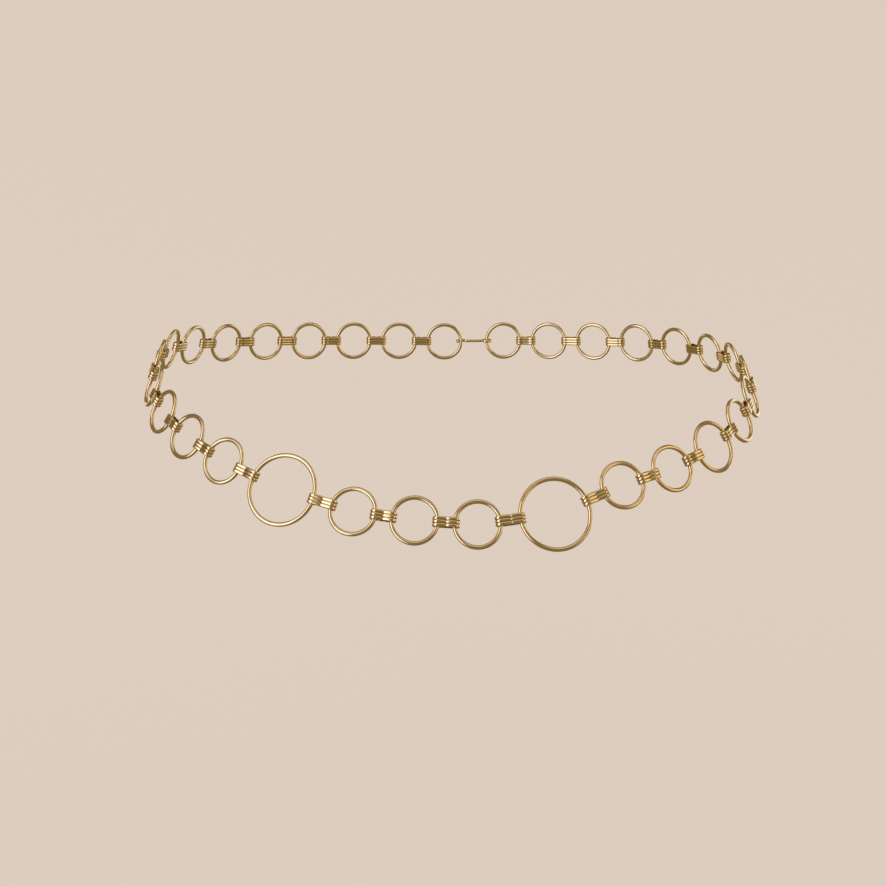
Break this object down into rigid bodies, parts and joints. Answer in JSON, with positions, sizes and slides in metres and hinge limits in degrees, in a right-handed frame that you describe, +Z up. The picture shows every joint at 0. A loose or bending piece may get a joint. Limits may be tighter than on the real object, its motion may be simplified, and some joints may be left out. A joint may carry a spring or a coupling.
{
  "type": "waist chain",
  "caption": "Waist chain of round wire rings joined by ribbed fold-over connectors, a closed loop shaped as it hangs round the hips, with a plain clasp at the back.",
  "frame": {"origin": "middle of the loop, at the height where the chain passes the wearer's flanks", "axes": "+Z up along the wearer's body, which passes through the loop; -Y to the wearer's front; +X to the right as seen from the front"},
  "size_m": [0.2831, 0.215, 0.1088],
  "materials": {
    "ring_wire": "polished antique-gold brass wire, lightly tarnished",
    "ribbed_strip": "polished antique-gold brass, darker in the grooves"
  },
  "bodies": {
    "root": {"middle_ring": "ring_wire", "right_ring_1": "ring_wire", "right_ring_2": "ring_wire", "right_ring_3": "ring_wire", "right_ring_4": "ring_wire", "right_ring_5": "ring_wire", "right_ring_6": "ring_wire", "right_ring_7": "ring_wire", "left_ring_1": "ring_wire", "left_ring_2": "ring_wire", "left_ring_3": "ring_wire", "left_ring_4": "ring_wire", "left_ring_5": "ring_wire", "left_ring_6": "ring_wire", "left_ring_7": "ring_wire", "right_connector_1": "ribbed_strip", "right_connector_2": "ribbed_strip", "right_connector_3": "ribbed_strip", "right_connector_4": "ribbed_strip", "right_connector_5": "ribbed_strip", "right_connector_6": "ribbed_strip", "right_connector_7": "ribbed_strip", "right_connector_8": "ribbed_strip", "left_connector_1": "ribbed_strip", "left_connector_2": "ribbed_strip", "left_connector_3": "ribbed_strip", "left_connector_4": "ribbed_strip", "left_connector_5": "ribbed_strip", "left_connector_6": "ribbed_strip", "left_connector_7": "ribbed_strip", "left_connector_8": "ribbed_strip", "back_chain_right": "ring_wire", "back_chain_left": "ring_wire", "back_clasp": "ring_wire"}
  },
  "joints": []
}
